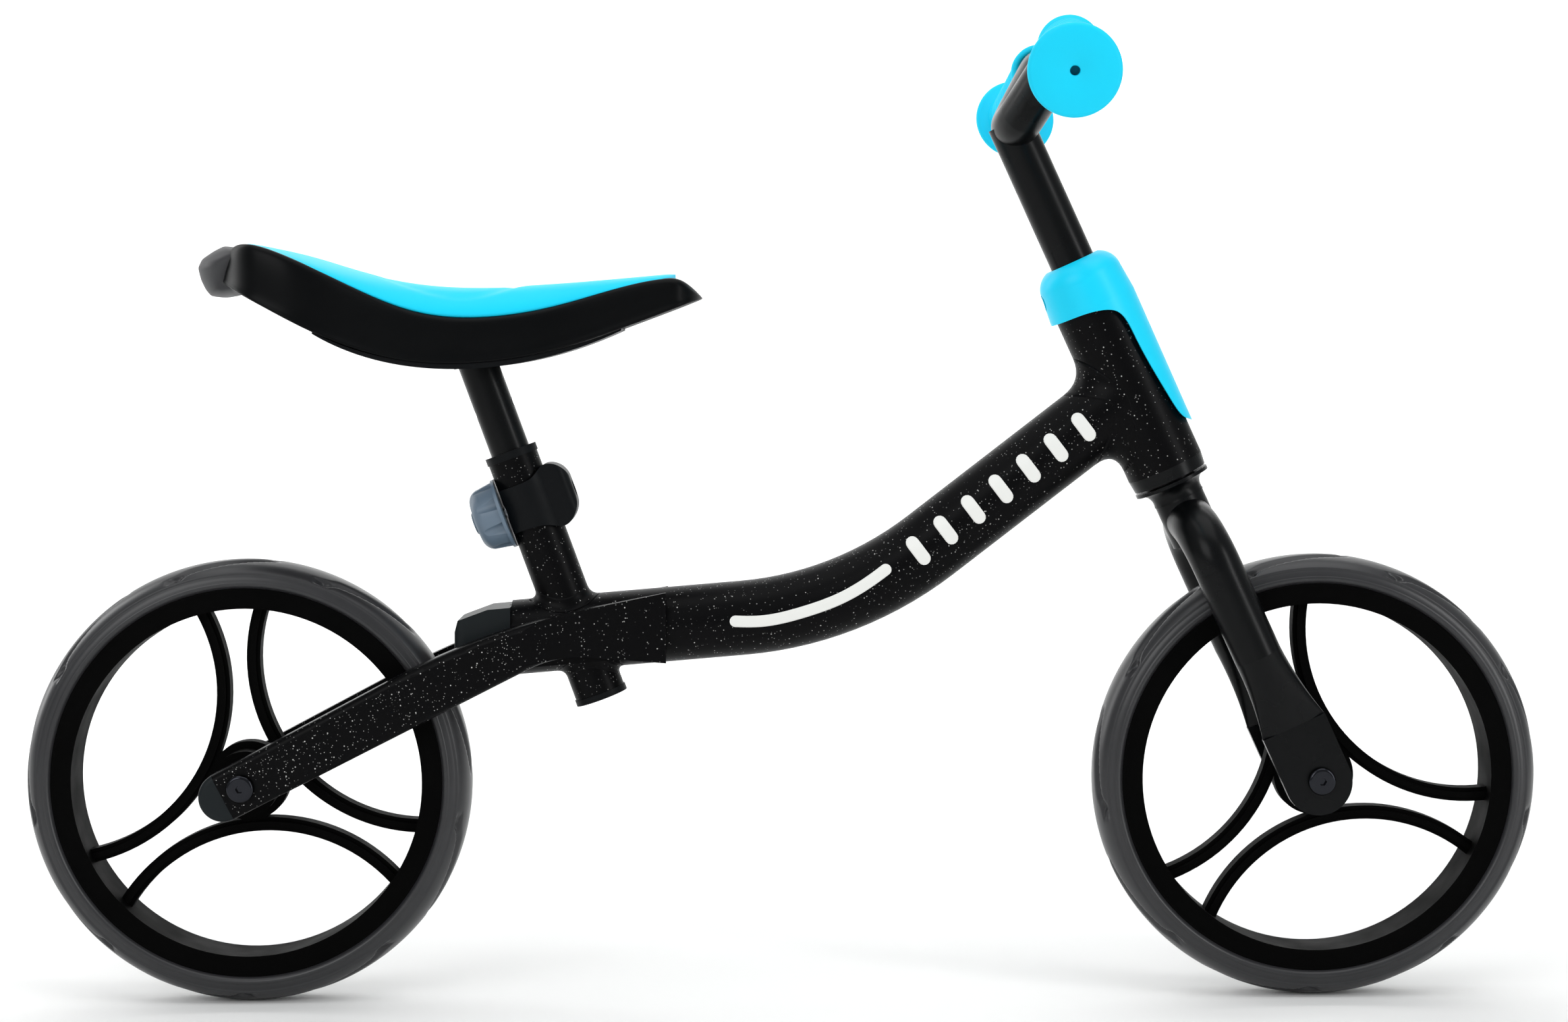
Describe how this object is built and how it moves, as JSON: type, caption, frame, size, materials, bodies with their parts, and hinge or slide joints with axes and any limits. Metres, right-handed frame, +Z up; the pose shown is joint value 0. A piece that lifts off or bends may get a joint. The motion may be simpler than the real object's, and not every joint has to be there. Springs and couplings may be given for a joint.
{
  "type": "balance bike",
  "caption": "Child's balance bike with a curved main tube, spoked foam-tyred wheels, rising bar and a padded seat on a clamped post.",
  "frame": {"origin": "on the ground under the middle of the bike, half way between the two axles, in the mid plane", "axes": "+X forward, +Y to the rider's left, +Z up; steering straight ahead"},
  "size_m": [0.85, 0.363, 0.5436],
  "materials": {
    "frame_paint": "black powder coat with fine white flecks",
    "dark_plastic": "moulded dark plastic, fine matt texture",
    "black_metal": "satin black paint",
    "bright_steel": "zinc plated steel",
    "dark_chrome": "dark plated bolt heads",
    "cyan_rubber": "cyan rubber, ribbed",
    "cyan_plastic": "cyan moulded plastic, satin",
    "cyan_pad": "cyan soft foam skin, satin",
    "grey_plastic": "mid grey moulded plastic",
    "knob_plastic": "blue grey moulded plastic",
    "rim_plastic": "black moulded plastic, satin",
    "tyre_foam": "dark grey solid foam tyre"
  },
  "bodies": {
    "frame": {"main_tube": "frame_paint", "head_tube": "frame_paint", "seat_tube": "frame_paint", "seat_tube_sleeve": "dark_plastic", "seat_tube_plug": "dark_plastic", "stay_right": "frame_paint", "stay_left": "frame_paint", "stay_plug_right": "dark_plastic", "stay_plug_left": "dark_plastic", "main_tube_plug": "dark_plastic", "lower_headset_cup": "black_metal", "upper_headset_cup": "black_metal", "lower_headset_bearing": "bright_steel", "upper_headset_bearing": "bright_steel", "seat_clamp": "dark_plastic", "seat_clamp_screw": "bright_steel", "knob_insert": "bright_steel", "rear_axle": "bright_steel", "rear_axle_bolts": "dark_chrome", "rear_axle_spacers": "bright_steel", "rear_hub_sleeve": "bright_steel"},
    "rear_wheel": {"rear_tyre": "tyre_foam", "rear_rim": "rim_plastic", "rear_wheel_bearings": "bright_steel"},
    "fork": {"crown_race": "black_metal", "steerer_tube": "black_metal", "top_race": "bright_steel", "fork_leg_right": "black_metal", "fork_leg_left": "black_metal", "handlebar": "black_metal", "stem_tube": "black_metal", "grip_right": "cyan_rubber", "grip_left": "cyan_rubber", "stem_clamp": "black_metal", "stem_clamp_screw": "bright_steel", "steering_cover": "cyan_plastic", "front_axle": "bright_steel", "front_axle_bolts": "dark_chrome", "front_axle_spacers": "bright_steel", "front_hub_sleeve": "bright_steel"},
    "front_wheel": {"front_tyre": "tyre_foam", "front_rim": "rim_plastic", "front_wheel_bearings": "bright_steel"},
    "seat": {"seat_post": "black_metal", "seat_post_cap": "dark_plastic", "seat_bracket": "black_metal", "seat_screws": "bright_steel", "seat_base_plate": "dark_plastic", "seat_shell": "dark_plastic", "seat_pad": "cyan_pad", "seat_tail_grip": "grey_plastic"},
    "knob": {"clamp_knob": "knob_plastic", "knob_screw": "bright_steel", "knob_cap": "knob_plastic"}
  },
  "joints": [
    {"name": "rear_wheel_spin", "type": "hinge", "parent": "frame", "child": "rear_wheel", "pos_m": [-0.3, 0, 0.125], "axis": [0, 1, 0], "continuous": true},
    {"name": "steering", "type": "hinge", "parent": "frame", "child": "fork", "pos_m": [0.295, 0, 0.125], "axis": [-0.4131, 0, 0.9107], "range_deg": [-55, 55]},
    {"name": "front_wheel_spin", "type": "hinge", "parent": "fork", "child": "front_wheel", "pos_m": [0.3, 0, 0.125], "axis": [0, 1, 0], "continuous": true},
    {"name": "seat_slide", "type": "slide", "parent": "frame", "child": "seat", "axis": [-0.3404, 0, 0.9403], "range_m": [-0.0285, 0.0285]},
    {"name": "knob_turn", "type": "hinge", "parent": "frame", "child": "knob", "pos_m": [-0.14121, 0, 0.2801], "axis": [-0.9403, 0, -0.3404], "range_deg": [0, 300]}
  ]
}
